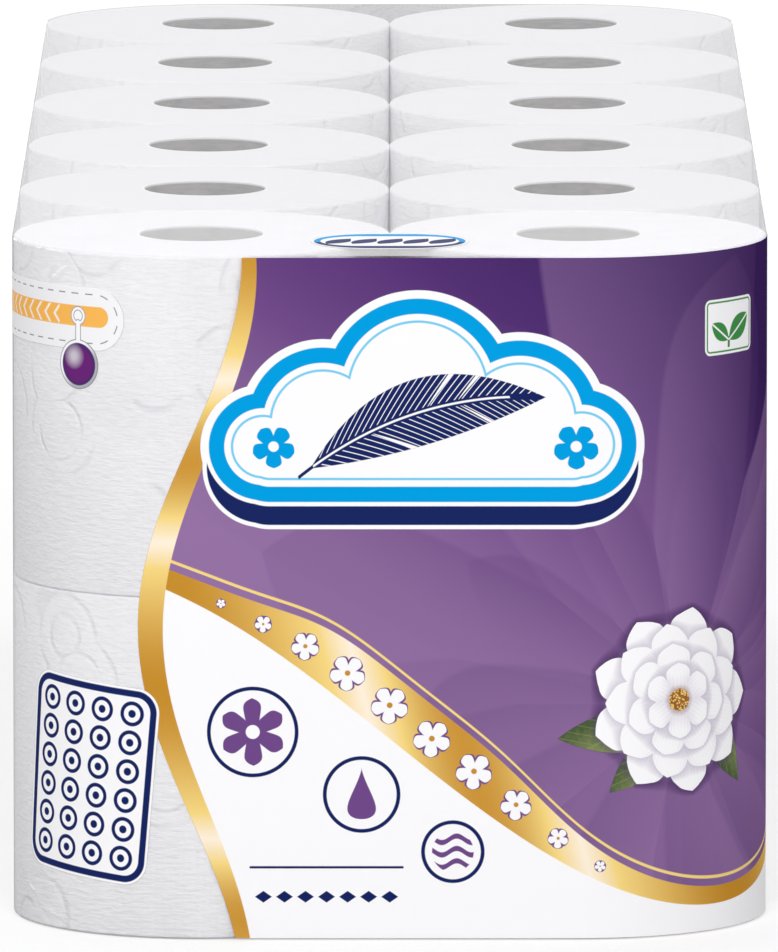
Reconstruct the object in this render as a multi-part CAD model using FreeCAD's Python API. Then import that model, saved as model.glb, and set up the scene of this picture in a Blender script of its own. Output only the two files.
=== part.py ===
import FreeCAD
import Part
import math
import os

# A pack of toilet paper. The rolls stand on end, two wide, six deep and two layers high,
# inside one clear, partly printed film bag that is drawn tight around them.
# The bag has a perforated tear strip round its front left corner, and its mouth at the back
# is folded over like an envelope and closed by a crimped heat seal.
# The origin is on the ground under the middle of the pack. X is the width, Z is up, and
# the front of the pack faces -Y. Sizes are in millimetres.

# How the rolls are packed
rolls_across = 2
rolls_deep = 6
layers = 2
roll_gap = 0.3

# Paper roll, with the step that the free end of its last sheet makes
roll_diameter = 107.7
roll_height = 98.0
sheet_thickness = 0.5
first_tail_angle = 10.0
tail_angle_step = 137.5

# Cardboard core inside the first turn
core_diameter = 37.5
core_wall = 1.0
core_clearance = 0.05

# Film bag
film_thickness = 0.3
film_clearance = 0.2

# Folded mouth at the back: two flaps over the side tucks, and the seal that holds them
flap_thickness = 0.8
flap_tip_width = 70.0
seal_thickness = 0.6
seal_length = 150.0
seal_height = 16.0
crimp_count = 3
crimp_width = 1.6
crimp_depth = 0.3

# Perforated tear strip, measured from the line where the front left corner meets the side
strip_height = 14.0
strip_drop = 19.0
strip_corner_length = 61.0
strip_side_length = 60.0
slit_length = 2.6
slit_width = 0.4
slit_spacing = 5.0

# Worked out from the sizes above
pitch = roll_diameter + roll_gap
roll_radius = roll_diameter / 2
core_radius = core_diameter / 2
half_across = (rolls_across - 1) * pitch / 2
half_deep = (rolls_deep - 1) * pitch / 2
stack_height = layers * roll_height
floor_z = film_thickness
middle_z = floor_z + stack_height / 2
cavity_radius = roll_radius + film_clearance
centre_y = -(flap_thickness + seal_thickness) / 2
front_axis_y = centre_y - half_deep
back_axis_y = centre_y + half_deep
side_names = {0: "left", rolls_across - 1: "right"}
layer_names = {0: "lower", layers - 1: "upper"}


def vec(x, y, z=0.0):
    return FreeCAD.Vector(x, y, z)


def on_circle(centre, radius, angle_deg):
    angle = math.radians(angle_deg)
    return centre + vec(radius * math.cos(angle), radius * math.sin(angle))


def quarter_arc(centre, radius, first_deg):
    """A quarter circle, with its two ends."""
    start, middle, end = [on_circle(centre, radius, first_deg + turn) for turn in (0, 45, 90)]
    return Part.Arc(start, middle, end).toShape(), start, end


def wound_outline():
    """One turn of the wound sheet: quarter arcs about the corners of a small square, each wider
    than the one before, and the step where the last sheet ends."""
    side = sheet_thickness / 4
    square = [(-side, side), (-side, -side), (side, -side), (side, side)]
    edges = []
    ends = []
    for quarter, (x, y) in enumerate(square):
        radius = roll_radius - side / 2 - (3 - quarter) * side
        arc, start, end = quarter_arc(vec(x / 2, y / 2), radius, 90 * quarter)
        edges.append(arc)
        ends += [start, end]
    edges.append(Part.makeLine(ends[-1], ends[0]))
    return Part.Wire(edges)


def paper_roll():
    """The wound paper with sawn ends, and the bore that its core sits in."""
    wound = Part.Face(wound_outline()).extrude(vec(0, 0, roll_height))
    bore = Part.makeCylinder(core_radius + core_clearance, roll_height)
    return wound.cut(bore)


def cardboard_core():
    """The cardboard tube, sawn to length together with its paper."""
    outer = Part.makeCylinder(core_radius, roll_height)
    inner = Part.makeCylinder(core_radius - core_wall, roll_height)
    return outer.cut(inner)


def drawn_outline(radius):
    """The plan of film drawn round the corner rolls: arcs about their axes, and straight sides."""
    corners = [
        (half_across, back_axis_y),
        (-half_across, back_axis_y),
        (-half_across, front_axis_y),
        (half_across, front_axis_y),
    ]
    arcs = [quarter_arc(vec(x, y), radius, 90 * i) for i, (x, y) in enumerate(corners)]
    edges = []
    for index, (arc, _, end) in enumerate(arcs):
        next_start = arcs[(index + 1) % len(arcs)][1]
        edges.append(arc)
        if end.distanceToPoint(next_start) > Part.Precision.confusion():
            edges.append(Part.makeLine(end, next_start))
    return Part.Wire(edges)


def block_round_stack(grow):
    """The solid block that the stack fills, grown by a distance on every side."""
    block = Part.Face(drawn_outline(cavity_radius + grow)).extrude(vec(0, 0, stack_height + 2 * grow))
    return block.translated(vec(0, 0, floor_z - grow))


def film_over_back(depth, thickness, outline):
    """A layer of film at a depth over the back of the stack, cut to an outline in X and Z."""
    layer = block_round_stack(depth + thickness).cut(block_round_stack(depth))
    points = [vec(x, back_axis_y, z) for x, z in outline]
    stamp = Part.Face(Part.makePolygon(points + points[:1]))
    return layer.common(stamp.extrude(vec(0, roll_diameter, 0)))


def back_flap(side):
    """The upper (side 1) or lower (side -1) flap: it narrows from the pack's edge to its tip."""
    half_edge = half_across + cavity_radius
    half_tip = flap_tip_width / 2
    edge_z = middle_z + side * stack_height / 2
    tip_z = middle_z - side * seal_height / 2
    outline = [(-half_edge, edge_z), (half_edge, edge_z), (half_tip, tip_z), (-half_tip, tip_z)]
    return film_over_back(film_thickness, flap_thickness, outline)


def seal_band(depth, thickness, height, z):
    half = seal_length / 2
    low = z - height / 2
    high = z + height / 2
    outline = [(-half, low), (half, low), (half, high), (-half, high)]
    return film_over_back(depth, thickness, outline)


def crimped_seal():
    """The band that welds both flaps to the tucks, pressed with grooves along its length."""
    depth = film_thickness + flap_thickness
    seal = seal_band(film_thickness, flap_thickness + seal_thickness, seal_height, middle_z)
    for index in range(crimp_count):
        z = middle_z + seal_height * ((index + 1) / (crimp_count + 1) - 0.5)
        groove = seal_band(depth + seal_thickness - crimp_depth, crimp_depth, crimp_width, z)
        seal = seal.cut(groove)
    return seal


def slit(distance, height, slope_deg):
    """A cutter for one slit of the tear strip. The distance runs from the line where the corner
    meets the side: forward round the corner, or back along the side if it is negative."""
    middle_radius = cavity_radius + film_thickness / 2
    knife_depth = 4 * film_thickness
    corner = vec(-knife_depth / 2, -slit_length / 2, -slit_width / 2)
    knife = Part.makeBox(knife_depth, slit_length, slit_width, corner)
    knife.rotate(vec(0, 0), vec(1, 0), slope_deg)
    knife.translate(vec(middle_radius, 0, floor_z + stack_height - strip_drop + height))
    round_corner = math.degrees(max(distance, 0) / middle_radius)
    knife.rotate(vec(0, 0), vec(0, 0, 1), 180 + round_corner)
    return knife.translated(vec(-half_across, front_axis_y - min(distance, 0)))


def strip_slits():
    """The perforation round the tear strip: two straight rows and two half-round ends."""
    end_radius = strip_height / 2
    side_end = end_radius - strip_side_length
    corner_end = strip_corner_length - end_radius
    row_count = int((corner_end - side_end) / slit_spacing)
    end_count = int(math.pi * end_radius / slit_spacing)
    slits = []
    for index in range(row_count):
        distance = side_end + (index + 0.5) * (corner_end - side_end) / row_count
        slits += [slit(distance, end_radius, 0), slit(distance, -end_radius, 0)]
    for index in range(end_count):
        turn = math.radians(180 * (index + 0.5) / end_count - 90)
        reach = end_radius * math.cos(turn)
        height = end_radius * math.sin(turn)
        slope = 90 + math.degrees(turn)
        slits.append(slit(corner_end + reach, height, slope))
        slits.append(slit(side_end - reach, height, -slope))
    return slits


def film_bag():
    """The whole bag: one skin, its folded and sealed mouth, and the slits of the tear strip."""
    skin = block_round_stack(film_thickness).cut(block_round_stack(0))
    bag = skin.fuse([back_flap(1), back_flap(-1), crimped_seal()]).removeSplitter()
    return bag.cut(strip_slits())


def set_in_stack(shape, column, row, layer, angle_deg):
    """A copy of a roll's piece, turned about its own axis and set in its place in the stack."""
    piece = shape.copy()
    piece.rotate(vec(0, 0), vec(0, 0, 1), angle_deg)
    x = column * pitch - half_across
    y = front_axis_y + row * pitch
    return piece.translated(vec(x, y, floor_z + layer * roll_height))


def place_name(column, row, layer):
    side = side_names.get(column, "column%d" % (column + 1))
    level = layer_names.get(layer, "layer%d" % (layer + 1))
    return "row%d_%s_%s" % (row + 1, side, level)


def save(shape, name):
    shape.exportStep(os.path.join("parts", name + ".step"))


def main():
    os.makedirs("parts", exist_ok=True)
    roll = paper_roll()
    core = cardboard_core()
    angle = first_tail_angle
    for row in range(rolls_deep):
        for column in range(rolls_across):
            for layer in range(layers):
                name = place_name(column, row, layer)
                save(set_in_stack(roll, column, row, layer, angle), "roll_" + name)
                save(set_in_stack(core, column, row, layer, angle), "core_" + name)
                angle += tail_angle_step
    bag = film_bag()
    save(bag, "film_bag")
    box = bag.optimalBoundingBox()
    print("pack %.1f x %.1f x %.1f mm" % (box.XLength, box.YLength, box.ZLength))


main()
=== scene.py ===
import bmesh
import bpy
import math
from mathutils import Matrix, Vector


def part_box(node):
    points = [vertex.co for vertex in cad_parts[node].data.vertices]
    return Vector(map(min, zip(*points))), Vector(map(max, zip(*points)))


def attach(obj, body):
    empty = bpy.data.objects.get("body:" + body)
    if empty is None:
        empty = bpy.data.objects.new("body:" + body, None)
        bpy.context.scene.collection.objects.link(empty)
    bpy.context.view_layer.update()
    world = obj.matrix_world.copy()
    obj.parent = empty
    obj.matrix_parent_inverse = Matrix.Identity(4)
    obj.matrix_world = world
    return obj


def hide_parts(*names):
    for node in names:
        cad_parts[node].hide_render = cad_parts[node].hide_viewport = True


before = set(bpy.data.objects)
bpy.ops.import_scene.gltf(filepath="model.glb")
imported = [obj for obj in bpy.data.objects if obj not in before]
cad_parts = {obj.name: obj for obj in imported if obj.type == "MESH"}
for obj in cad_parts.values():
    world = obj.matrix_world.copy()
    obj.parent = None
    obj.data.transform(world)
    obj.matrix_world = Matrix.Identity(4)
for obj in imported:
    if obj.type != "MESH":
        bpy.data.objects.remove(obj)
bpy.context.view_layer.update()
print("frame loaded:", len(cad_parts), "nodes")

mm = 0.001
hair = 1e-6  # metres, too short to count


def srgb(red, green, blue):  # a colour as it is read off a screen, 0 to 255
    def linear(value):
        value = value / 255
        return value / 12.92 if value <= 0.04045 else ((value + 0.055) / 1.055) ** 2.4
    return (linear(red), linear(green), linear(blue), 1)


def grey(value):
    return (value, value, value, 1)


class Wire:  # a shader socket that can be used in an expression
    def __init__(self, finish, socket):
        self.finish = finish
        self.socket = socket

    def math(self, operation, *others, clamp=False):
        return self.finish.mathNode(operation, self, *others, clamp=clamp)

    def __add__(self, other):
        return self.math("ADD", other)

    def __sub__(self, other):
        return self.math("SUBTRACT", other)

    def __rsub__(self, other):
        return self.finish.mathNode("SUBTRACT", other, self)

    def __mul__(self, other):
        return self.math("MULTIPLY", other)

    def __truediv__(self, other):
        return self.math("DIVIDE", other)

    def __rtruediv__(self, other):
        return self.finish.mathNode("DIVIDE", other, self)

    def __pow__(self, other):
        return self.math("POWER", other)

    def __neg__(self):
        return self.math("MULTIPLY", -1)

    def __abs__(self):
        return self.math("ABSOLUTE")

    __radd__ = __add__
    __rmul__ = __mul__

    def sin(self):
        return self.math("SINE")

    def cos(self):
        return self.math("COSINE")

    def sqrt(self):
        return self.math("SQRT")

    def fourth(self):  # to the fourth power, of negative values too
        square = self * self
        return square * square

    def whole(self):  # the nearest whole number
        return self.math("ROUND")

    def held(self):  # kept between 0 and 1
        return self.math("MULTIPLY", 1, clamp=True)

    def least(self, other):
        return self.math("MINIMUM", other)

    def most(self, other):
        return self.math("MAXIMUM", other)

    def inside(self, soft):  # 1 where a signed distance is below zero, with an edge this soft
        return self.finish.mathNode("MULTIPLY_ADD", self, -1 / soft, 0.5, clamp=True)

    def rising(self, low, high):  # a ramp from 0 to 1 between two values
        return ((self - low) / (high - low)).held()

    def gentle(self):  # eases a ramp from 0 to 1 at both ends
        return self * self * (3 - 2 * self)

    def swing(self):  # a wave between 0 and 1
        return 0.5 + 0.5 * self.sin()


class Finish:  # one procedural material, or the nodes of the world
    def __init__(self, name, holder=None):
        self.holder = holder or bpy.data.materials.new(name)
        self.holder.use_nodes = True
        self.tree = self.holder.node_tree
        self.tree.nodes.clear()

    def node(self, kind, settings=None, inputs=None, output=0):
        made = self.tree.nodes.new(kind)
        for name, value in (settings or {}).items():
            if name == "stops":
                self.fillRamp(made.color_ramp, value)
            else:
                setattr(made, name, value)
        for name, value in (inputs or {}).items():
            if isinstance(value, Wire):
                self.tree.links.new(value.socket, made.inputs[name])
            else:
                made.inputs[name].default_value = value
        return Wire(self, made.outputs[output]) if made.outputs else None

    def fillRamp(self, ramp, stops):
        while len(ramp.elements) < len(stops):
            ramp.elements.new(1)
        for element, (place, colour) in zip(ramp.elements, stops):
            element.position = place
            element.color = colour

    def mathNode(self, operation, *values, clamp=False):
        settings = {"operation": operation, "use_clamp": clamp}
        return self.node("ShaderNodeMath", settings, dict(enumerate(values)))

    def mix(self, factor, first, second):
        return self.node("ShaderNodeMix", {"data_type": "RGBA"}, {0: factor, 6: first, 7: second}, 2)

    def ramp(self, stops, factor):
        return self.node("ShaderNodeValToRGB", {"stops": stops}, {0: factor})

    def clear(self):
        return self.node("ShaderNodeBsdfTransparent", {}, {"Color": grey(1)})

    def opaque(self, colour, roughness=1.0, specular=0.0, more=None):
        inputs = {"Base Color": colour, "Roughness": roughness, "Specular IOR Level": specular}
        return self.node("ShaderNodeBsdfPrincipled", {}, inputs | (more or {}))

    def ray(self, kind):
        return self.node("ShaderNodeLightPath", {}, {}, kind)

    def over(self, first, factor, shader):  # lays one shader over another
        return self.node("ShaderNodeMixShader", {}, {0: factor, 1: first, 2: shader})

    def place(self):  # the point on the piece, in metres
        return self.node("ShaderNodeTexCoord", {}, {}, "Object")

    def stretched(self, scale):
        return self.node("ShaderNodeMapping", {}, {"Vector": self.place(), "Scale": scale})

    def axes(self, vector):  # its x, y and z
        split = self.node("ShaderNodeSeparateXYZ", {}, {0: vector})
        return [Wire(self, socket) for socket in split.socket.node.outputs]

    def unwrapped(self):  # across and up on the piece's own flat map
        return self.axes(self.node("ShaderNodeUVMap", {"uv_map": "flat"}))[:2]

    def noise(self, scale, detail=3.0, roughness=0.5):  # one scale, or one for each axis
        inputs = {"Detail": detail, "Roughness": roughness}
        if isinstance(scale, tuple):
            inputs |= {"Vector": self.stretched(scale), "Scale": 1.0}
        else:
            inputs |= {"Vector": self.place(), "Scale": scale}
        return self.node("ShaderNodeTexNoise", {}, inputs, "Fac")

    def cells(self, scale, randomness):  # the distance from the middle of scattered cells
        inputs = {"Vector": self.place(), "Scale": scale, "Randomness": randomness}
        return self.node("ShaderNodeTexVoronoi", {"feature": "F1"}, inputs, "Distance")

    def bump(self, height, strength, distance, under=None):
        inputs = {"Height": height, "Strength": strength, "Distance": distance}
        if under is not None:
            inputs["Normal"] = under
        return self.node("ShaderNodeBump", {}, inputs)

    def surface(self, shader, output="ShaderNodeOutputMaterial"):
        self.node(output, {}, {"Surface": shader})
        return self


# The bag's plan comes from the frame: film drawn round the four corner rolls
filmLow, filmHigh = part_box("film_bag")
coreBoxes = {name[len("core_"):]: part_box(name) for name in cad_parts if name.startswith("core_")}
coreCentres = {name: (low + high) / 2 for name, (low, high) in coreBoxes.items()}
rows = len([name for name in coreBoxes if name.endswith("left_lower")])
cornerX = max(c.x for c in coreCentres.values())
frontAxisY = min(c.y for c in coreCentres.values())
backAxisY = max(c.y for c in coreCentres.values())
stackTop = max(high.z for low, high in coreBoxes.values())
filmInset = 0.15 * mm
bagRadius = filmHigh.x - cornerX - filmInset
bagTop = filmHigh.z - filmInset
bagBottom = filmLow.z + filmInset
middleZ = (bagTop + bagBottom) / 2
quarterTurn = bagRadius * math.pi / 2
rowPitch = (backAxisY - frontAxisY) / (rows - 1)
frontTangent = cornerX + quarterTurn


def onBag(along, height, lift):  # along runs both ways from the middle of the front
    side = -1 if along < 0 else 1
    run = abs(along)
    reach = bagRadius + lift
    if run <= cornerX:
        x, y = run, frontAxisY - reach
    elif run <= frontTangent:
        turn = (run - cornerX) / bagRadius
        x, y = cornerX + reach * math.sin(turn), frontAxisY - reach * math.cos(turn)
    else:
        x, y = cornerX + reach, frontAxisY + run - frontTangent
    return Vector((side * x, y, height))


def onBack(x, height, lift):  # a point of the back, where x runs as it does in the pack
    beyond = max(abs(x) - cornerX, 0)
    return Vector((x, backAxisY + math.sqrt((bagRadius + lift) ** 2 - beyond ** 2), height))


def keepFlat(bm):  # remembers the flat place of each corner as its UV
    layer = bm.loops.layers.uv.new("flat")
    for face in bm.faces:
        for loop in face.loops:
            loop[layer].uv = loop.vert.co.xy


def wrapOn(bm, bend):  # flat work, x across, y up and z out, bent onto the film
    keepFlat(bm)
    for vert in bm.verts:
        vert.co = bend(*vert.co)


def sliceAt(bm, places, axis=(1, 0, 0)):  # cuts flat work into strips across an axis
    for at in places:
        geom = bm.verts[:] + bm.edges[:] + bm.faces[:]
        bmesh.ops.bisect_plane(bm, geom=geom, plane_co=at * Vector(axis), plane_no=axis, dist=hair)


def addPiece(name, bm, finishes, sharpAngle=40):
    for face in bm.faces:
        face.smooth = True
    for edge in bm.edges:
        if len(edge.link_faces) == 2:
            edge.smooth = edge.calc_face_angle(0) < math.radians(sharpAngle)
    mesh = bpy.data.meshes.new(name)
    bm.to_mesh(mesh)
    bm.free()
    for finish in finishes:
        mesh.materials.append(finish.holder)
    piece = bpy.data.objects.new(name, mesh)
    bpy.context.scene.collection.objects.link(piece)
    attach(piece, "root")
    return piece


# Tissue: creped and embossed round the roll. A noise has its scale, detail and roughness, a bump
# its strength and depth, and cells their scale and randomness.
tissue = {
    "colour": srgb(248, 247, 250),
    "shade": srgb(224, 223, 228),
    "roughness": 0.9,
    "specular": 0.2,
    "sheen": 0.12,
    "sheenRoughness": 0.6,
    "crepe": ((260, 260, 1000), 4, 0.6),
    "creases": (0.32, 0.68),
    "fibres": ((800, 800, 1500), 2),
    "fibreRelief": 0.3,
    "weave": (520.0, 0.3),
    "weaveRelief": 0.35,
    "crepeBump": (0.7, 0.22 * mm),
    "emboss": (38.0, 0.85),
    "embossArcs": ((0.34, 0.04), (0.52, 0.05)),
    "patches": (52.0, 1),
    "patchEdge": (0.48, 0.58),
    "embossBump": (0.4, 0.7 * mm),
    "clouds": (45.0, 2),
    "tones": {"creases": 0.27, "clouds": 0.4, "cloudsFrom": 0.35, "lines": 0.24},
}


def makeTissueSide():
    look = Finish("tissueSide")
    creases = look.noise(*tissue["crepe"]).rising(*tissue["creases"])
    fibres = look.noise(*tissue["fibres"])
    weave = look.cells(*tissue["weave"])
    # Emboss: patches of small arcs and of wide arcs, pressed in
    cells = look.cells(*tissue["emboss"])
    small, wide = [(1 - (abs(cells - at) / half).least(1)).gentle() for at, half in tissue["embossArcs"]]
    patches = look.noise(*tissue["patches"]).rising(*tissue["patchEdge"])
    lines = small * patches + wide * (1 - patches)
    crepe = creases + tissue["fibreRelief"] * fibres + tissue["weaveRelief"] * weave
    relief = look.bump(crepe, *tissue["crepeBump"])
    relief = look.bump(-lines, *tissue["embossBump"], relief)
    # Painted shade: the colour darkens in the crepe creases and along the pressed emboss lines; the clouds
    # are tone that differs at random
    tones = tissue["tones"]
    clouds = look.noise(*tissue["clouds"]) - tones["cloudsFrom"]
    tone = (tones["creases"] * creases + tones["clouds"] * clouds + tones["lines"] * lines).held()
    colour = look.mix(tone, tissue["colour"], tissue["shade"])
    more = {"Normal": relief, "Sheen Weight": tissue["sheen"], "Sheen Roughness": tissue["sheenRoughness"]}
    return look.surface(look.opaque(colour, tissue["roughness"], tissue["specular"], more))


# The sawn ends of a roll: winding lines, and marks of the saw
sawnEnd = {
    "colour": srgb(240, 239, 243),
    "shade": srgb(228, 227, 233),
    "specular": 0.15,
    "turnSpacing": 1.1 * mm,
    "wander": (60.0, 2),
    "wanderBy": 9,
    "saw": ((60, 900, 60), 3),
    "sawRelief": 0.8,
    "bump": (0.3, 0.1 * mm),
    "tones": {"rings": 0.32, "saw": 0.35},
}


def makeTissueEnd():
    look = Finish("tissueEnd")
    turn, radius = look.unwrapped()  # turns round the roll, and metres from its axis
    wound = (radius / sawnEnd["turnSpacing"] - turn) * (2 * math.pi)
    rings = (wound + look.noise(*sawnEnd["wander"]) * sawnEnd["wanderBy"]).swing()
    saw = look.noise(*sawnEnd["saw"])
    relief = look.bump(rings + sawnEnd["sawRelief"] * saw, *sawnEnd["bump"])
    tones = sawnEnd["tones"]
    tone = (tones["rings"] * rings + tones["saw"] * saw).held()
    colour = look.mix(tone, sawnEnd["colour"], sawnEnd["shade"])
    more = {"Normal": relief, "Sheen Weight": tissue["sheen"]}
    return look.surface(look.opaque(colour, tissue["roughness"], sawnEnd["specular"], more))


# One wound roll: a profile spun once round its axis, drawn in just past the tail of its last
# sheet, and pressed flat where it meets its neighbours
roll = {
    "radius": 54.1 * mm,
    "pressedTo": 53.99 * mm,
    "coreClearance": 0.05 * mm,
    "rim": 0.8 * mm,
    "rimSteps": 3,
    "turnSteps": 144,
    "tailStep": 0.5 * mm,
    "tailEase": 0.2,
    "firstTail": 10.0,
    "tailAngle": 137.5,
}


def rollProfile(low, high, bore):
    radius = roll["radius"]
    rim = roll["rim"]
    points = [(bore, low), (radius - rim, low)]
    for step in range(1, roll["rimSteps"] + 1):
        turn = math.pi / 2 * step / roll["rimSteps"]
        points.append((radius - rim + rim * math.sin(turn), low + rim - rim * math.cos(turn)))
    upper = [(r, low + high - z) for r, z in reversed(points)]
    return points + upper


def makeRoll(key, tail, finishes):
    low, high = coreBoxes[key]
    centre = coreCentres[key]
    bore = (high.x - low.x) / 2 + roll["coreClearance"]
    outerFrom = (bore + roll["radius"]) / 2
    bm = bmesh.new()
    verts = [bm.verts.new((r, 0, z)) for r, z in rollProfile(low.z, high.z, bore)]
    edges = [bm.edges.new(pair) for pair in zip(verts, verts[1:] + verts[:1])]
    steps = roll["turnSteps"]
    bmesh.ops.spin(bm, geom=verts + edges, cent=(0, 0, 0), axis=(0, 0, 1), angle=2 * math.pi,
                   steps=steps, use_merge=False)
    bm.verts.index_update()
    turnOf = {vert: vert.index // len(verts) / steps for vert in bm.verts}  # the spin keeps their order
    layer = bm.loops.layers.uv.new("flat")
    for face in bm.faces:
        outer = all(vert.co.xy.length > outerFrom for vert in face.verts)
        face.material_index = 0 if outer and abs(face.normal.z) < 0.5 else 1
        for loop in face.loops:
            loop[layer].uv = (turnOf[loop.vert] + tail / 360, loop.vert.co.xy.length)
    spin = Matrix.Rotation(math.radians(tail), 4, "Z")
    press = roll["pressedTo"]
    for vert, turn in turnOf.items():
        if vert.co.xy.length > outerFrom:
            drawn = roll["tailStep"] * max(0, 1 - turn / roll["tailEase"])
            vert.co.xy *= 1 - drawn / vert.co.xy.length
        vert.co = spin @ vert.co
        vert.co.x = centre.x + min(max(vert.co.x, -press), press)
        vert.co.y = centre.y + min(max(vert.co.y, -press), press)
    bmesh.ops.remove_doubles(bm, verts=bm.verts, dist=hair)
    rim = [edge for edge in bm.edges if edge.is_boundary]
    bmesh.ops.holes_fill(bm, edges=rim, sides=0)
    bmesh.ops.recalc_face_normals(bm, faces=bm.faces)
    piece = addPiece("wound_" + key, bm, finishes)
    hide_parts("roll_" + key)


rollFinishes = [makeTissueSide(), makeTissueEnd()]
tail = roll["firstTail"]
for row in range(1, rows + 1):
    for side in ("left", "right"):
        for layer in ("lower", "upper"):
            makeRoll(f"row{row}_{side}_{layer}", tail, rollFinishes)
            tail += roll["tailAngle"]
print("rolls wound")


# Cores: grey board whose sawn ends are dusted white with paper
board = {
    "colour": srgb(156, 150, 148),
    "dark": srgb(70, 66, 65),
    "dust": srgb(246, 245, 248),
    "dustDepth": 0.5 * mm,
    "dustEdge": 0.4 * mm,
    "roughness": 0.85,
    "specular": 0.25,
    "fibres": ((210, 210, 1100), 5, 0.65),
    "blotches": (120.0, 2),
    "tones": {"fibres": 1.2, "blotches": 0.9, "from": 0.55},
    "bump": (0.4, 0.15 * mm),
}


def makeCoreBoard():
    look = Finish("coreBoard")
    fibres = look.noise(*board["fibres"])
    tones = board["tones"]
    tone = tones["fibres"] * fibres + tones["blotches"] * look.noise(*board["blotches"])
    colour = look.mix((tone - tones["from"]).held(), board["dark"], board["colour"])
    low, high = coreBoxes["row1_left_lower"]
    layer = (look.axes(look.place())[2] - low.z) / (high.z - low.z)
    fromEnd = abs(layer - layer.whole()) * (high.z - low.z)
    colour = look.mix((fromEnd - board["dustDepth"]).inside(board["dustEdge"]), colour, board["dust"])
    more = {"Normal": look.bump(fibres, *board["bump"])}
    return look.surface(look.opaque(colour, board["roughness"], board["specular"], more))


coreBoard = makeCoreBoard()
for name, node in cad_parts.items():
    if name.startswith("core_"):
        node.data.materials.clear()
        node.data.materials.append(coreBoard.holder)
print("cores finished")


# Clear film: see-through, glossy, and hazier where it is seen edge on
film = {
    "rim": 0.8 * mm,
    "cornerSteps": 24,
    "rimSteps": 3,
    "sharpAngle": 10,
    "topTint": srgb(250, 250, 252),
    # painted shade: the haze of upright walls is greyer than the top's
    "wallShadeTint": srgb(196, 198, 203),
    "haze": 0.03,
    "edgeHaze": 0.95,
    "edgePower": 16.0,
    "topHaze": 0.1,
    "topPower": 4,
    "gloss": 0.05,
    "edgeGloss": 0.12,
    "glossPower": 5,
    "roughness": 0.09,
    "bump": (0.8, 4.0 * mm),
    "topCalm": 0.75,
    "dip": 0.5,
    "sideFrom": 0.7,
    "folds": ((16, 16, 6), 2, 0.45),
    "fine": ((90, 60, 50), 2),
    "fineRelief": 0.08,
    "pleats": {"start": 9 * mm, "reach": 44 * mm, "count": 7, "wander": (30.0, 2), "wanderBy": 9,
               "sharpness": 5, "haze": 0.32, "height": 0.6},
}


def fannedPleats(look, aside, fromEnd):  # folds that fan out from the ends of each gap
    pleats = film["pleats"]
    reach = (aside * aside + fromEnd * fromEnd).sqrt()
    wander = look.noise(*pleats["wander"]) * pleats["wanderBy"]
    ray = abs((fromEnd.math("ARCTAN2", aside) * pleats["count"] + wander).sin())
    fade = (1 - reach / pleats["reach"]).most(0) * (reach / pleats["start"]).least(1)
    return (1 - ray) ** pleats["sharpness"] * fade


def makeFilm(name, haze, wallShadeTint, innerShade=None, shadow=1.0):
    look = Finish(name)
    facing = look.node("ShaderNodeLayerWeight", {}, {}, "Facing")
    normal = look.axes(look.node("ShaderNodeNewGeometry", {}, {}, "Normal"))
    level = abs(normal[2])
    sideways = abs(normal[0]).math("GREATER_THAN", film["sideFrom"])
    x, y, z = look.axes(look.place())
    gap = (y - frontAxisY) / rowPitch - 0.5
    fromGap = (gap - gap.whole()) * rowPitch
    fromEnd = (bagTop - z).least(z - bagBottom)
    fromEnd = fromEnd + (fromGap - fromEnd) * level
    aside = x + (fromGap - x) * sideways * (1 - level)
    pleats = fannedPleats(look, aside, fromEnd) * (1 - film["topCalm"] * level)
    dips = (fromGap * (2 * math.pi / rowPitch)).cos() * (level - 1)  # drawn in between the rolls
    height = film["dip"] * dips + look.noise(*film["folds"]) + film["pleats"]["height"] * pleats
    height = height + film["fineRelief"] * look.noise(*film["fine"])
    cloudy = haze + film["edgeHaze"] * facing ** film["edgePower"] + film["pleats"]["haze"] * pleats
    cloudy = (cloudy + film["topHaze"] * level * facing ** film["topPower"]).least(1)
    if shadow < 1:  # hazy film that still lets light through
        cloudy = cloudy * (1 - (1 - shadow) * look.ray("Is Shadow Ray"))
    # Painted shade: the haze is greyer on upright walls, and takes the lighter top tint on the top and in
    # the pleats
    tint = look.mix(level.most(pleats * 2).least(1), wallShadeTint, film["topTint"])
    if innerShade:
        tint = look.mix((-normal[1]).held(), tint, innerShade)  # shaded where it faces the rolls
    body = look.over(look.clear(), cloudy, look.opaque(tint))
    inputs = {"Color": grey(1), "Roughness": film["roughness"], "Normal": look.bump(height, *film["bump"])}
    shine = look.node("ShaderNodeBsdfAnisotropic", {}, inputs)
    gloss = film["gloss"] + film["edgeGloss"] * facing ** film["glossPower"]
    return look.surface(look.over(body, gloss, shine))


def rise(edge):  # how far one end lies above the other
    return abs(edge.verts[0].co.z - edge.verts[1].co.z)


def makeBag():
    bm = bmesh.new()
    halfX = cornerX + bagRadius
    front = frontAxisY - bagRadius
    back = backAxisY + bagRadius
    size = Matrix.Diagonal((2 * halfX, back - front, bagTop - bagBottom, 1))
    middle = Matrix.Translation((0, (front + back) / 2, middleZ))
    bmesh.ops.create_cube(bm, size=1, matrix=middle @ size)
    uprights = [edge for edge in bm.edges if rise(edge) > hair]
    bmesh.ops.bevel(bm, geom=uprights, offset=bagRadius, offset_type="OFFSET", affect="EDGES",
                    segments=film["cornerSteps"], profile=0.5, material=-1)
    rims = [edge for edge in bm.edges if rise(edge) < hair]
    bmesh.ops.bevel(bm, geom=rims, offset=film["rim"], offset_type="OFFSET", affect="EDGES",
                    segments=film["rimSteps"], profile=0.5, material=-1)
    return bm


clearFilm = makeFilm("clearFilm", film["haze"], film["wallShadeTint"])
bag = addPiece("film_wrap", makeBag(), [clearFilm], film["sharpAngle"])
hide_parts("film_bag")
print("bag made")


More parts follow.
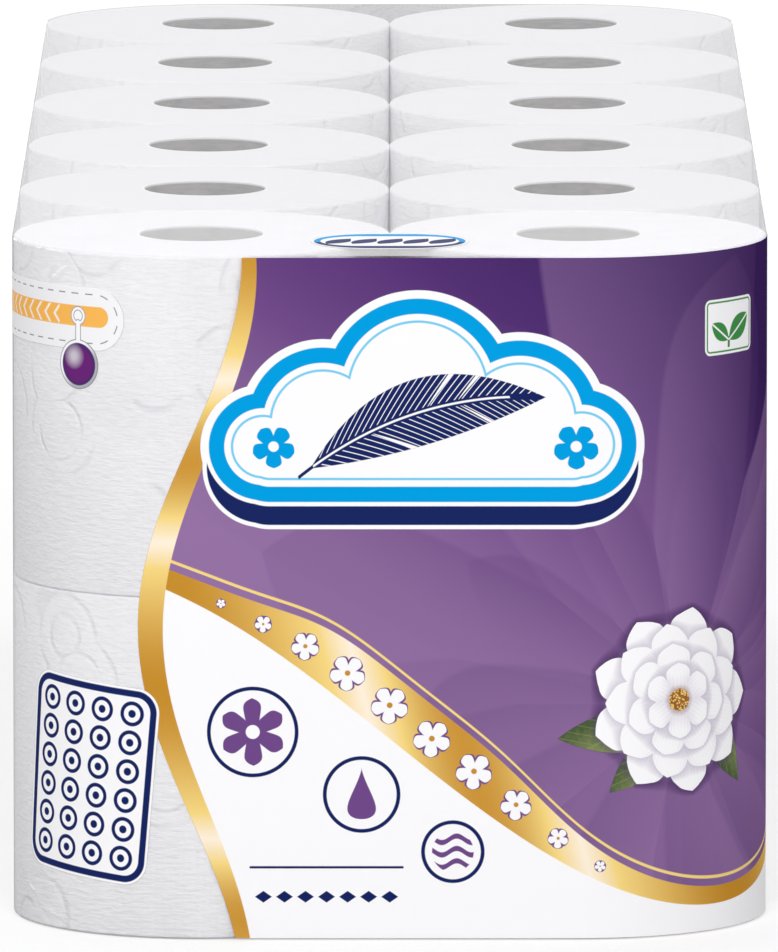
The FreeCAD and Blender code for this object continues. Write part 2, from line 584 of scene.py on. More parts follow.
# Mouth of the bag, folded over the back like an envelope and closed by a crimped seal
mouth = {
    "halfTip": 35 * mm,
    "flapThickness": 0.8 * mm,
    "sealHalf": (75 * mm, 8 * mm),
    "sealThickness": 0.6 * mm,
    "crimps": 3,
    "crimpWidth": 1.6 * mm,
    "crimpDepth": 0.3 * mm,
    "skin": 0.15 * mm,
    "lapGap": 0.02 * mm,
    "sealGap": 0.03 * mm,
    "cornerSteps": 12,
    "sharpAngle": 30,
    "flapHaze": 0.4,
    "flapTint": srgb(246, 247, 250),
    "sealHaze": 0.6,
    "sealTint": srgb(250, 251, 253),
    # painted shade on the flaps' inner faces, which face the rolls
    "innerShade": srgb(112, 114, 119),
    "shadow": 0.25,
}
cornerTurns = [math.pi / 2 * step / mouth["cornerSteps"] for step in range(mouth["cornerSteps"])]
backSlices = [side * (cornerX + bagRadius * math.sin(turn)) for side in (-1, 1) for turn in cornerTurns]


def thickOutline(points, low, high):  # a flat outline with a front and a back face
    bm = bmesh.new()
    face = bm.faces.new([bm.verts.new((x, y, low)) for x, y in points])
    grown = bmesh.ops.extrude_face_region(bm, geom=[face])
    lifted = [item for item in grown["geom"] if isinstance(item, bmesh.types.BMVert)]
    bmesh.ops.translate(bm, verts=lifted, vec=(0, 0, high - low))
    bmesh.ops.recalc_face_normals(bm, faces=bm.faces)
    return bm


def bentOnBack(bm):  # bends flat work onto the back and keeps its faces outward
    wrapOn(bm, onBack)
    bmesh.ops.recalc_face_normals(bm, faces=bm.faces)
    return bm


def makeFlap(side):
    skin = mouth["skin"]
    tip = mouth["halfTip"]
    edge = cornerX + bagRadius - skin
    edgeZ = middleZ + side * (stackTop - middleZ)
    tipZ = middleZ - side * mouth["sealHalf"][1]
    lift = skin + (0 if side > 0 else mouth["lapGap"])
    points = [(-edge, edgeZ), (edge, edgeZ), (tip, tipZ), (-tip, tipZ)]
    bm = thickOutline(points, lift, lift + mouth["flapThickness"] - skin)
    sliceAt(bm, backSlices)
    return bentOnBack(bm)


def makeSeal():
    halfX, halfZ = mouth["sealHalf"]
    low = mouth["flapThickness"] + mouth["sealGap"]
    top = low + mouth["sealThickness"]
    bm = thickOutline([(-halfX, -halfZ), (halfX, -halfZ), (halfX, halfZ), (-halfX, halfZ)], low, top)
    crimps = [2 * halfZ * ((crimp + 1) / (mouth["crimps"] + 1) - 0.5) for crimp in range(mouth["crimps"])]
    halfCrimp = mouth["crimpWidth"] / 2
    sliceAt(bm, [crimp + side * halfCrimp for crimp in crimps for side in (-1, 1)], (0, 1, 0))
    grooves = []
    for face in bm.faces:
        centre = face.calc_center_median()
        pressed = min(abs(centre.y - crimp) for crimp in crimps) < halfCrimp / 2
        if pressed and centre.z > top - hair:
            grooves.append(face)
    for face in grooves:
        bmesh.ops.inset_individual(bm, faces=[face], thickness=mouth["crimpDepth"])
        bmesh.ops.translate(bm, verts=face.verts, vec=(0, 0, -mouth["crimpDepth"]))
    bmesh.ops.translate(bm, verts=bm.verts, vec=(0, middleZ, 0))
    sliceAt(bm, [place for place in backSlices if abs(place) < halfX])
    return bentOnBack(bm)


flapFilm = makeFilm("flapFilm", mouth["flapHaze"], mouth["flapTint"], mouth["innerShade"], mouth["shadow"])
sealFilm = makeFilm("sealFilm", mouth["sealHaze"], mouth["sealTint"], shadow=mouth["shadow"])
addPiece("flap_upper", makeFlap(1), [flapFilm], mouth["sharpAngle"])
addPiece("flap_lower", makeFlap(-1), [flapFilm], mouth["sharpAngle"])
addPiece("crimped_seal", makeSeal(), [sealFilm], mouth["sharpAngle"])
print("mouth folded and sealed")


# Inks of the printed film, and the shapes its artwork is drawn with, all in millimetres
ink = {
    "soft": 0.22,
    "gloss": 0.03,
    "roughness": 0.42,
    "ripple": ((22, 22, 12), 3),
    "rippleBump": (0.25, 0.8 * mm),
    "purpleDark": srgb(76, 45, 107),
    "purple": srgb(112, 74, 137),
    "purpleLight": srgb(152, 117, 166),
    "white": srgb(252, 251, 253),
    "blue": srgb(1, 158, 225),
    "blueLight": srgb(120, 205, 240),
    "navy": srgb(24, 38, 96),
    "orange": srgb(251, 186, 89),
    "green": srgb(63, 140, 72),
    "silver": srgb(176, 178, 184),
    "ochre": srgb(199, 142, 47),
    "straw": srgb(247, 216, 131),
}
ink["gold"] = [(0.0, ink["ochre"]), (0.3, srgb(229, 187, 100)), (0.55, ink["straw"]),
               (0.72, srgb(255, 241, 221)), (0.86, ink["straw"]), (1.0, srgb(205, 150, 60))]


class Artwork(Finish):  # ink on the film, painted shape by shape
    def __init__(self, name, ground="white"):
        super().__init__(name)
        across, up = self.unwrapped()
        self.across = across / mm
        self.up = up / mm
        self.colour = ink[ground]

    def paint(self, mask, colour):
        self.colour = self.mix(mask, self.colour, colour)

    def lay(self, shape, name):  # a shape with a printed edge, in one of the inks
        self.paint(shape.inside(ink["soft"]), ink[name])

    def gold(self, place):
        return self.ramp(ink["gold"], place.swing())

    def inked(self, colour, gloss=ink["gloss"], roughness=ink["roughness"]):  # it ripples with the film
        relief = self.bump(self.noise(*ink["ripple"]), *ink["rippleBump"])
        return self.opaque(colour, roughness, gloss, {"Normal": relief})

    def printed(self, mask, gloss=ink["gloss"]):  # clear where nothing is printed
        return self.surface(self.over(self.clear(), mask, self.inked(self.colour, gloss)))


def disc(across, up, x, y, radius):
    return ((across - x) * (across - x) + (up - y) * (up - y)).sqrt() - radius


def roundBox(across, up, x, y, halfX, halfY, radius):
    overX = abs(across - x) - (halfX - radius)
    overY = abs(up - y) - (halfY - radius)
    outX = overX.most(0)
    outY = overY.most(0)
    return (outX * outX + outY * outY).sqrt() + overX.most(overY).least(0) - radius


def joined(shapes):  # one outline round them all
    whole = shapes[0]
    for shape in shapes[1:]:
        whole = whole.least(shape)
    return whole


def repeated(value, spacing):  # how far a value is from the nearest of evenly spaced places
    return value - spacing * (value / spacing).whole()


def spokes(across, up, x, y, count, turn=0.0):  # one petal's own length and breadth, repeated round
    dx = across - x
    dy = up - y
    reach = (dx * dx + dy * dy).sqrt()
    local = repeated(dy.math("ARCTAN2", dx) + turn, 2 * math.pi / count)
    return reach * local.cos(), reach * local.sin()


def leaf(along, side, length, width):  # pointed at both ends
    place = along * (2 / length) - 1
    return abs(side) - width / 2 * (1 - place * place)


def petal(along, side, length, width):  # broad and round at its end
    foot = 0.45  # how broad it is where it starts
    place = along * (2 / length) - 1
    return abs(side) - width / 2 * ((1 - place.fourth()) * (foot + (1 - foot) / length * along))


def turned(across, up, x, y, degrees):
    turn = math.radians(degrees)
    dx = across - x
    dy = up - y
    return dx * math.cos(turn) + dy * math.sin(turn), dy * math.cos(turn) - dx * math.sin(turn)


def printedSheet(part):  # a flat rectangle, in millimetres, bent onto the front
    bm = bmesh.new()
    (x, y), (halfX, halfY) = part["centre"], part["half"]
    size = Matrix.Diagonal((halfX * mm, halfY * mm, 1, 1))
    matrix = Matrix.Translation((x * mm, y * mm, part["lift"])) @ size
    bmesh.ops.create_grid(bm, x_segments=part["strips"], y_segments=1, size=1, matrix=matrix)
    wrapOn(bm, onBag)
    return bm


# Printed front: purple above, white below, a gold sweep between them and gold side edges
panel = {
    "centre": (48, middleZ / mm),
    "half": (128, (bagTop - bagBottom - film["rim"]) / 2 / mm),
    "lift": 0.04 * mm,
    "strips": 110,
    "gloss": 0.0,
    "purples": [(0.0, srgb(148, 113, 163)), (0.34, srgb(112, 73, 137)), (0.66, srgb(82, 49, 114)),
                (1.0, srgb(60, 35, 92))],
    "lightest": (-60, 148),
    "darkening": (200, 152),
    "flower": (84, 68),
    "fans": ((7, 200, 96, 0.2, 0.8), (9, 128, 52, 0.0, 0.67), (11, 74, 26, 0.3, 0.6)),
    "fanEdge": 1.5,
    "fanFade": 1.15,
    "fanShade": 0.22,
    "crest": {"height": 58, "fall": 50, "run": 62},
    "sweep": {"width": 4.5, "swell": 15, "middle": 8, "run": 42, "shine": (23, 90)},
    "piping": {"gap": 2.6, "half": 0.45},
    "string": {"spacing": 12.0, "least": 3.5, "lift": 2.2, "petals": 5, "turn": 0.4,
               "length": 0.36, "breadth": 0.3, "eye": 0.055, "outline": 0.55},
    "icons": ((-39, 60, 12.5), (-8, 42, 10.5), (18, 25.5, 8.5)),
    "iconLine": 0.55,
    # The marks in the icons, with their sizes as shares of an icon's radius
    "blossomMark": {"petals": 6, "turn": 0.5, "length": 0.78, "width": 0.5, "eye": 0.16},
    "dropMark": {"tip": 0.72, "length": 1.4, "half": 0.675, "taper": 1.3},
    "waveMark": {"swing": 0.11, "gap": 0.42, "half": 0.09, "reach": 0.7},
    "rule": (-18, 21, 22, 0.35),
    "lozenges": {"x": -18, "y": 12.5, "halfRow": 20.5, "spacing": 6, "size": 1.7, "squash": 0.7},
    "leftEdge": (-57, 15, 34),
    "rightEdge": (158, -15, 42),
    "edgeBand": (4.2, 3.2, 62),
    "edgeShine": (21, 1.3),
}


def purpleField(art):  # tone-on-tone petals fan out from the flower
    lightX, lightY = panel["lightest"]
    runX, runY = panel["darkening"]
    # The purples darken towards the top and the right: the print's own gradient, and at the right edge
    # partly painted shade where the film turns round the corner
    art.colour = art.ramp(panel["purples"], (art.across - lightX) / runX + (art.up - lightY) / runY)
    for count, length, width, turn, strength in panel["fans"]:
        along, side = spokes(art.across, art.up, *panel["flower"], count, turn)
        shape = petal(along, side, length, width).inside(panel["fanEdge"])
        edgeLight = ((0.5 + side / width) * strength).held()
        fade = (panel["fanFade"] - along / length).held()
        art.paint(shape * edgeLight * fade, ink["purpleLight"])
        art.paint(shape * panel["fanShade"] * (1 - edgeLight), ink["purpleDark"])


def crestHeight(across):  # the upper edge of the white field
    crest = panel["crest"]
    return crest["height"] - crest["fall"] * (across / crest["run"]).sin()


def sweepSwell(across):  # how much the sweep widens towards its middle
    sweep = panel["sweep"]
    return sweep["swell"] / (1 + ((across - sweep["middle"]) / sweep["run"]).fourth())


def goldSweep(art):
    sweep = panel["sweep"]
    piping = panel["piping"]
    above = art.up - crestHeight(art.across)
    width = sweep["width"] + sweepSwell(art.across)
    shineX, shineY = sweep["shine"]
    art.paint((above - width).inside(ink["soft"]), art.gold(art.across / shineX + art.up / shineY))
    art.lay(above, "white")
    art.lay(abs(above - width - piping["gap"]) - piping["half"], "straw")


def blossomString(art):  # small blossoms strung along the sweep
    string = panel["string"]
    cell = (art.across / string["spacing"]).whole() * string["spacing"]
    swell = sweepSwell(cell)
    middle = crestHeight(cell) + string["lift"] + swell / 2
    along, side = spokes(art.across, art.up, cell, middle, string["petals"], string["turn"])
    shape = petal(along, side, swell * string["length"], swell * string["breadth"])
    eye = disc(art.across, art.up, cell, middle, swell * string["eye"])
    shown = swell.math("GREATER_THAN", string["least"])
    for part, name in ((shape - string["outline"], "purple"), (shape, "white"), (eye, "ochre")):
        art.paint(part.inside(ink["soft"]) * shown, ink[name])


def blossomMark(across, up, x, y, radius):
    mark = panel["blossomMark"]
    along, side = spokes(across, up, x, y, mark["petals"], mark["turn"])
    petals = petal(along, side, radius * mark["length"], radius * mark["width"])
    return petals.most(-disc(across, up, x, y, radius * mark["eye"]))


def dropMark(across, up, x, y, radius):
    mark = panel["dropMark"]
    along, side = turned(across, up, x, y + radius * mark["tip"], -90)  # from its tip downwards
    length = radius * mark["length"]
    place = (along / length).held()
    breadth = place ** mark["taper"] * (1 - place.fourth()).sqrt()
    return (abs(side) - radius * mark["half"] * breadth).most(-along).most(along - length)


def waveMark(across, up, x, y, radius):
    mark = panel["waveMark"]
    wave = up - y - radius * mark["swing"] * (across * (2 * math.pi / radius)).sin()
    gap = radius * mark["gap"]
    row = wave - gap * (wave / gap).whole().most(-1).least(1)
    return (abs(row) - radius * mark["half"]).most(disc(across, up, x, y, radius * mark["reach"]))


def roundIcons(art):  # they step down over the white field
    for draw, icon in zip((blossomMark, dropMark, waveMark), panel["icons"]):
        art.lay(abs(disc(art.across, art.up, *icon)) - panel["iconLine"], "navy")
        art.lay(draw(art.across, art.up, *icon), "purple")


def ruleAndLozenges(art):
    row = panel["lozenges"]
    x, y, length, half = panel["rule"]
    fromCell = abs(repeated(art.across, row["spacing"]))
    lozenge = fromCell * row["squash"] + abs(art.up - row["y"]) - row["size"]
    lozenge = lozenge.most(abs(art.across - row["x"]) - row["halfRow"])
    art.lay(roundBox(art.across, art.up, x, y, length, half, half).least(lozenge), "navy")


def wavyEdge(up, edge):  # a line that swings to and fro down the pack
    middle, swing, run = edge
    return middle + swing * ((up - stackTop / mm) / run).cos()


def makePanelFinish():
    art = Artwork("printedFront")
    for draw in (purpleField, goldSweep, blossomString, roundIcons, ruleAndLozenges):
        draw(art)
    beyondLeft = wavyEdge(art.up, panel["leftEdge"]) - art.across
    outside = beyondLeft.most(art.across - wavyEdge(art.up, panel["rightEdge"]))
    width, swell, run = panel["edgeBand"]
    shine, start = panel["edgeShine"]
    inner = outside + width + swell * (art.up / run).sin()
    art.paint(1 - inner.inside(ink["soft"]), art.gold(art.up / shine + start))
    return art.printed(outside.inside(ink["soft"]), panel["gloss"])


addPiece("printed_panel", printedSheet(panel), [makePanelFinish()])


# Cloud emblem in white, light blue and navy, with a curved feather between two small blossoms
emblem = {
    "centre": (8, 152),
    "half": (72, 40),
    "lift": 0.08 * mm,
    "strips": 36,
    "lobes": ((0, 6, 22), (-27, -3, 17), (29, -2, 18), (-44, -10, 11), (46.5, -9.5, 11.5)),
    "base": (1, -12, 52, 9.5, 9),
    "drop": 6,
    "navyEdge": 5.0,
    "whiteEdge": 5.6,
    "blueEdge": 4.4,
    "outline": (6.8, 6.2),
    "innerLine": (2.2, 0.35),
    "feather": {"from": (-31, -15), "angle": 17, "length": 70, "width": 19, "bow": 0.0052, "rise": 5,
                "barbs": 2.3, "slant": 1.2, "gap": 0.17, "splits": (19, 36, 45), "splitTaper": 0.1,
                "spine": 1.0},
    # Half the width of each line along the feather, where it starts, and where it ends as a share
    "quill": (0.5, -4, 0.9),
    "shaft": (0.3, 1, 0.86),
    "blossoms": ((-41, -10, 6.2), (45, -10, 6.6)),
    "blossom": {"petals": 5, "turn": 0.3, "breadth": 0.9, "eye": 0.24},
}


def cloudShape(across, up):
    lobes = [disc(across, up, *lobe) for lobe in emblem["lobes"]]
    return joined([roundBox(across, up, *emblem["base"])] + lobes)


def drawFeather(art, across, up):
    feather = emblem["feather"]
    length = feather["length"]
    along, side = turned(across, up, *feather["from"], feather["angle"])
    side = side + feather["bow"] * (along - length / 2) * (along - length / 2) - feather["rise"]
    vane = leaf(along, side, length, feather["width"])
    swept = along - feather["slant"] * abs(side)
    gaps = abs(repeated(swept, feather["barbs"])) - feather["gap"]
    below, above, both = feather["splits"]
    split = abs(swept - below - (above - below) * side.math("GREATER_THAN", 0))
    split = split.least(abs(swept - both)) - feather["splitTaper"] * abs(side)
    gaps = gaps.least(split).most(feather["spine"] - abs(side)).most(vane)
    lines = [(abs(side) - half).most(start - along).most(along - length * end)
             for half, start, end in (emblem["quill"], emblem["shaft"])]
    for shape, name in zip((vane, gaps, *lines), ("navy", "white", "navy", "white")):
        art.lay(shape, name)


def makeEmblemFinish():
    art = Artwork("cloudEmblem")
    across = art.across - emblem["centre"][0]
    up = art.up - emblem["centre"][1]
    cloud = cloudShape(across, up)
    shadow = cloudShape(across, up + emblem["drop"])
    art.lay(shadow - emblem["navyEdge"], "navy")
    art.lay(cloud - emblem["whiteEdge"], "white")
    art.lay(cloud - emblem["blueEdge"], "blue")
    art.lay(cloud, "white")
    inset, half = emblem["innerLine"]
    art.lay(abs(cloud + inset) - half, "blueLight")
    drawFeather(art, across, up)
    mark = emblem["blossom"]
    for x, y, size in emblem["blossoms"]:
        along, side = spokes(across, up, x, y, mark["petals"], mark["turn"])
        art.lay(petal(along, side, size, size * mark["breadth"]), "blue")
        art.lay(disc(across, up, x, y, size * mark["eye"]), "white")
    upper, lower = emblem["outline"]
    return art.printed((cloud - upper).least(shadow - lower).inside(ink["soft"]))


addPiece("cloud_emblem", printedSheet(emblem), [makeEmblemFinish()])


# White blossom with a few leaves, printed over the purple at the right
blossom = {
    "centre": panel["flower"],
    "half": (40, 40),
    "lift": 0.08 * mm,
    "strips": 24,
    "petals": ((9, 27.0, 16.5, 0.0), (9, 22.5, 14.5, 0.35), (7, 16.5, 13.0, 0.1), (6, 11.0, 9.5, 0.5)),
    "leaves": ((205, 37, 13), (238, 33, 12), (-38, 35, 12.5)),
    "leaf": {"bow": 0.006, "rise": 2, "light": 0.45, "roll": 0.07, "grain": 0.5, "slant": 1.4,
             "veins": 4, "veinHalf": 0.2, "midrib": 0.3, "veinSoft": 0.4, "veinCover": 0.4},
    "leafDark": srgb(74, 92, 58),
    "leafLight": srgb(150, 160, 104),
    "grain": (900.0, 3),
    "wander": 1.6,
    "wanderScales": (70.0, 90.0),
    "ruffle": 1.3,
    "ruffleScale": 160.0,
    "ruffleStep": 30,
    "streak": {"strength": 0.05, "across": 5.5, "grain": 4},
    "light": {"least": 0.2, "along": 0.75, "sky": 0.25, "skySlope": 0.012, "rim": 0.12, "rimWidth": 2.5},
    "shade": srgb(190, 180, 206),
    "deep": srgb(150, 134, 172),
    "white": srgb(253, 252, 254),
    "heart": srgb(150, 98, 52),
    "pollen": srgb(244, 203, 112),
    "specks": (1500.0, 1.0),
    "speckSize": (0.45, 0.2),
    "heartSize": 3.2,
    "heartRough": 0.8,
    # How far and how strongly each part shades what lies under it
    "petalCast": (4.8, 0.45),
    "outerCast": (5.0, 0.45),
    "heartCast": (1.6, 0.5),
}


def castBy(shape, reach, strength):  # the soft shadow round a shape
    return (shape - reach / 2).inside(reach) * strength


def leavesBehind(art, grain):  # paints the leaves, and gives the outline round them
    look = blossom["leaf"]
    shapes = []
    for angle, length, width in blossom["leaves"]:
        along, side = turned(art.across, art.up, *blossom["centre"], angle)
        shape = leaf(along, side + look["bow"] * along * along - look["rise"], length, width)
        light = (look["light"] + side * look["roll"] + look["grain"] * (grain - 0.5)).held()
        green = art.mix(light, blossom["leafDark"], blossom["leafLight"])
        veins = abs(repeated(along - look["slant"] * abs(side), look["veins"])) - look["veinHalf"]
        veins = veins.least(abs(side) - look["midrib"]).inside(look["veinSoft"]) * look["veinCover"]
        art.paint(shape.inside(ink["soft"]), art.mix(veins, green, blossom["leafLight"]))
        shapes.append(shape)
    return joined(shapes)


def makeBlossomFinish():
    art = Artwork("whiteBlossom", "purpleDark")
    x, y = blossom["centre"]
    soft = ink["soft"]
    grain = art.noise(*blossom["grain"])
    leaves = leavesBehind(art, grain)
    wander = [blossom["wander"] * (art.noise(scale, 1) - 0.5) for scale in blossom["wanderScales"]]
    across = art.across + wander[0]
    up = art.up + wander[1]
    light = blossom["light"]
    streak = blossom["streak"]
    sky = (0.5 + (up - y - across + x) * light["skySlope"]).held()
    shapes = []
    for number, (count, length, width, turn) in enumerate(blossom["petals"]):
        along, side = spokes(across, up, x, y, count, turn)
        ruffle = art.noise(blossom["ruffleScale"] + blossom["ruffleStep"] * number, 2) - 0.5
        shape = petal(along, side, length, width) + blossom["ruffle"] * ruffle
        rim = (-shape / light["rimWidth"]).held()
        streaks = streak["strength"] * (side * streak["across"] + grain * streak["grain"]).sin()
        lit = light["least"] + light["along"] * (along / length).held() + light["sky"] * sky
        tone = art.mix((lit + light["rim"] * rim + streaks).held(), blossom["shade"], blossom["white"])
        art.paint(castBy(shape, *blossom["petalCast"]), blossom["deep"] if shapes else ink["purpleDark"])
        art.paint(shape.inside(soft), tone)
        shapes.append(shape)
    heart = disc(across, up, x, y, blossom["heartSize"]) + blossom["heartRough"] * (grain - 0.5)
    size, edge = blossom["speckSize"]
    specks = (art.cells(*blossom["specks"]) - size).inside(edge)
    art.paint(castBy(heart, *blossom["heartCast"]), blossom["heart"])
    art.paint(heart.inside(soft), art.mix(specks, blossom["heart"], blossom["pollen"]))
    whole = joined(shapes)
    mask = whole.inside(soft).most(leaves.inside(soft)).most(castBy(whole, *blossom["outerCast"]))
    return art.printed(mask)


addPiece("white_blossom", printedSheet(blossom), [makeBlossomFinish()])


# Badge with a ring for every roll of the pack, and a small label with a green sprout
badge = {
    "centre": (-90, 45),
    "half": (25, 31),
    "lift": 0.08 * mm,
    "strips": 24,
    "tilt": -5,
    "margin": 2.5,
    "corner": 7,
    "inset": 1.7,
    "line": 0.95,
    "cell": (9.6, 8.4),
    "count": (4, 6),
    "ring": (3.05, 0.56),
    "hole": 1.15,
}
label = {
    "centre": (104, 174),
    "half": (11.5, 8.5),
    "lift": 0.08 * mm,
    "strips": 10,
    "margin": 0.5,
    "corner": 2,
    "inset": 0.9,
    "line": 0.25,
    "root": (-1, -4),
    "leaves": ((35, 12), (145, 9)),
    "plump": 0.55,
    "vein": 0.25,
    "stemDrop": 0.6,
    "stem": (0.5, 1.6, 0.4),
}


def makeBadgeFinish():
    art = Artwork("rollBadge")
    x, y = turned(art.across, art.up, *badge["centre"], badge["tilt"])
    halfX, halfY = badge["half"]
    outline = roundBox(x, y, 0, 0, halfX - badge["margin"], halfY - badge["margin"], badge["corner"])
    border = abs(outline + badge["inset"]) - badge["line"]
    cell = []
    for at, size, count in zip((x, y), badge["cell"], badge["count"]):
        number = (at / size - 0.5).whole().most(-count / 2).least(count / 2 - 1)
        cell.append((number + 0.5) * size)
    radius, line = badge["ring"]
    ring = abs(disc(x, y, *cell, radius)) - line
    art.lay(joined([border, ring, disc(x, y, *cell, badge["hole"])]), "navy")
    return art.printed(outline.inside(ink["soft"]))


def makeLabelFinish():
    art = Artwork("sproutLabel")
    x, y = label["centre"]
    halfX, halfY = [half - label["margin"] for half in label["half"]]
    outline = roundBox(art.across, art.up, x, y, halfX, halfY, label["corner"])
    art.lay(abs(outline + label["inset"]) - label["line"], "green")
    rootX = x + label["root"][0]
    rootY = y + label["root"][1]
    art.lay(roundBox(art.across, art.up, rootX, rootY - label["stemDrop"], *label["stem"]), "green")
    for angle, length in label["leaves"]:
        along, side = turned(art.across, art.up, rootX, rootY, angle)
        blade = leaf(along, side, length, length * label["plump"])
        art.lay(blade, "green")
        art.lay((abs(side) - label["vein"]).most(blade), "white")
    return art.printed(outline.inside(ink["soft"]))


addPiece("roll_badge", printedSheet(badge), [makeBadgeFinish()])
addPiece("sprout_label", printedSheet(label), [makeLabelFinish()])
print("front printed")


# Tear strip round the front left corner: perforated outline, orange band and a round tag
strip = {
    "lift": 0.06 * mm,
    "strips": 48,
    "margin": 4,
    "height": 14.0,
    "drop": 19.0,
    "forward": 61.0,
    "back": 60.0,
    "spacing": 5.0,
    "slit": 2.6,
    "slitHalf": 0.17,
    "slitSoft": 0.15,
    "slitColour": srgb(140, 140, 150),
    "halo": 2,
    "haloCover": 0.95,
    "bandHalf": 2.95,
    "bandEnd": 3,
    "bandRise": 0.6,
    "chevrons": {"spacing": 4.4, "slope": 0.9, "half": 0.5, "inset": 0.3, "until": -99, "cover": 0.85},
    "tag": (-91.6, 164.0, 6.2),
    "tagRim": 0.9,
    "tagInset": 0.1,
    "tagGlow": srgb(111, 36, 120),
    "glow": {"inset": 1.0, "soft": 1.4, "cover": 0.8},
    "ring": (2.1, 0.6),
    "link": (1.0, 3.4, 0.9),
    "fittingLine": (0.1, 0.13),
    "shine": 0.12,
    "glint": (-1.6, 2.2, 2.4),
    "glintSoft": 3.0,
    "glintCover": 0.55,
}
stripX = -frontTangent / mm + (strip["forward"] - strip["back"]) / 2
stripY = stackTop / mm - strip["drop"]
stripHalf = (strip["forward"] + strip["back"]) / 2
bandY = stripY + strip["bandRise"]
strip["centre"] = (stripX, (stripY + strip["tag"][1] - strip["margin"]) / 2)
strip["half"] = (stripHalf + strip["margin"], (stripY - strip["tag"][1] + 2 * strip["height"]) / 2)


def perforation(across, up, outline):  # dashes with the same lengths and gaps as the bag's slits
    radius = strip["height"] / 2
    straight = stripHalf - radius
    offset = across - stripX
    count = int(2 * straight / strip["spacing"])
    pitch = 2 * straight / count
    onRow = abs(repeated(offset + (count - 1) / 2 * pitch, pitch))
    endStep = math.pi / int(math.pi * radius / strip["spacing"])
    beyond = abs(offset) - straight
    angle = (up - stripY).math("ARCTAN2", beyond) - endStep / 2
    onEnd = abs(repeated(angle, endStep)) * radius
    isEnd = beyond.math("GREATER_THAN", 0)
    dash = onRow * (1 - isEnd) + onEnd * isEnd - strip["slit"] / 2
    return (abs(outline) - strip["slitHalf"]).most(dash)


def chevronBand(art, band):  # they point to where the strip starts
    chevrons = strip["chevrons"]
    arrow = art.across - abs(art.up - bandY) * chevrons["slope"]
    stroke = abs(repeated(arrow, chevrons["spacing"])) - chevrons["half"]
    stroke = stroke.most(art.across - chevrons["until"]).most(band + chevrons["inset"])
    art.lay(band, "orange")
    art.paint(stroke.inside(ink["soft"]) * chevrons["cover"], ink["white"])


def hangingTag(art):  # ring, link and round tag; gives the outline round them
    x, y, tagRadius = strip["tag"]
    radius, line = strip["ring"]
    eye = disc(art.across, art.up, x, bandY, radius)
    link = roundBox(art.across, art.up, x, (bandY + y + tagRadius) / 2 - line, *strip["link"])
    tag = disc(art.across, art.up, x, y, tagRadius)
    fitting = joined([abs(eye) - line, link, tag - strip["tagRim"]])
    shine = (0.5 + strip["shine"] * (art.up - y - art.across + x)).held()
    art.lay(eye, "white")
    art.paint(fitting.inside(ink["soft"]), art.mix(shine, ink["silver"], ink["white"]))
    inset, half = strip["fittingLine"]
    art.paint((abs(fitting + inset) - half).inside(ink["soft"]), strip["slitColour"])
    art.lay(tag + strip["tagInset"], "purpleDark")
    glow = strip["glow"]
    art.paint((tag + glow["inset"]).inside(glow["soft"]) * glow["cover"], strip["tagGlow"])
    glintX, glintY, glintRadius = strip["glint"]
    glint = disc(art.across, art.up, x + glintX, y + glintY, glintRadius)
    art.paint(glint.inside(strip["glintSoft"]) * strip["glintCover"], ink["white"])
    return fitting


def makeStripFinish():
    art = Artwork("tearStrip")
    soft = ink["soft"]
    radius = strip["height"] / 2
    outline = roundBox(art.across, art.up, stripX, stripY, stripHalf, radius, radius)
    slits = perforation(art.across, art.up, outline).inside(strip["slitSoft"])
    art.paint(slits, strip["slitColour"])
    half = strip["bandHalf"]
    band = roundBox(art.across, art.up, stripX, bandY, stripHalf - strip["bandEnd"], half, half)
    chevronBand(art, band)
    fitting = hangingTag(art)
    halo = (outline - strip["halo"]).inside(soft) * strip["haloCover"]
    return art.printed(halo.most(fitting.inside(soft)).most(band.inside(soft)).most(slits))


addPiece("tear_strip", printedSheet(strip), [makeStripFinish()])
print("tear strip laid on")


# Top of the film over the first row: a painted sheen, thin white where it lies on the rolls, with a small
# label in front
veil = {
    "lift": 0.05 * mm,
    "steps": 24,
    "backEdge": -216 * mm,
    "rollSize": 53.6,
    "soft": 1.2,
    "cover": 0.42,
    "gloss": 0.3,
    "roughness": 0.12,
    "label": (0, -290, 22.5, 18),
    "insets": ((0.8, 1.6), (2.7, 6.8)),
    "navyFrom": -292,
    "sprigs": {"spacing": 7.4, "eachSide": 2, "from": (-3.2, -296.4), "angle": 60, "length": 14.0,
               "width": 6.4},
}


def makeTopFinish():
    art = Artwork("topPrintAndSheen")
    onRolls = disc(abs(art.across), art.up, cornerX / mm, frontAxisY / mm, veil["rollSize"])
    # Painted sheen: thin white over the tops of the front rolls stands in for the shine of their film
    sheenCover = onRolls.least(art.up - frontAxisY / mm).inside(veil["soft"]) * veil["cover"]
    sheenCover = sheenCover * (1 - art.ray("Is Shadow Ray"))  # the thin white lets light through
    x, y, halfX, halfY = veil["label"]
    outline, border, rim = [roundBox(art.across, art.up, x, y, halfX - inX, halfY - inY, halfY - inY)
                            for inX, inY in ((0, 0), *veil["insets"])]
    band = art.mix((art.up - veil["navyFrom"]).inside(ink["soft"]), ink["blue"], ink["navy"])
    art.paint(border.inside(ink["soft"]), band)
    art.lay(rim, "white")
    sprigs = veil["sprigs"]
    last = sprigs["eachSide"]
    cell = (art.across / sprigs["spacing"]).whole().most(-last).least(last) * sprigs["spacing"]
    along, side = turned(art.across - cell, art.up, *sprigs["from"], sprigs["angle"])
    art.lay(leaf(along, side, sprigs["length"], sprigs["width"]), "navy")
    paintedSheen = art.inked(ink["white"], veil["gloss"], veil["roughness"])
    shown = art.over(art.clear(), sheenCover, paintedSheen)
    return art.surface(art.over(shown, outline.inside(ink["soft"]), art.inked(art.colour)))


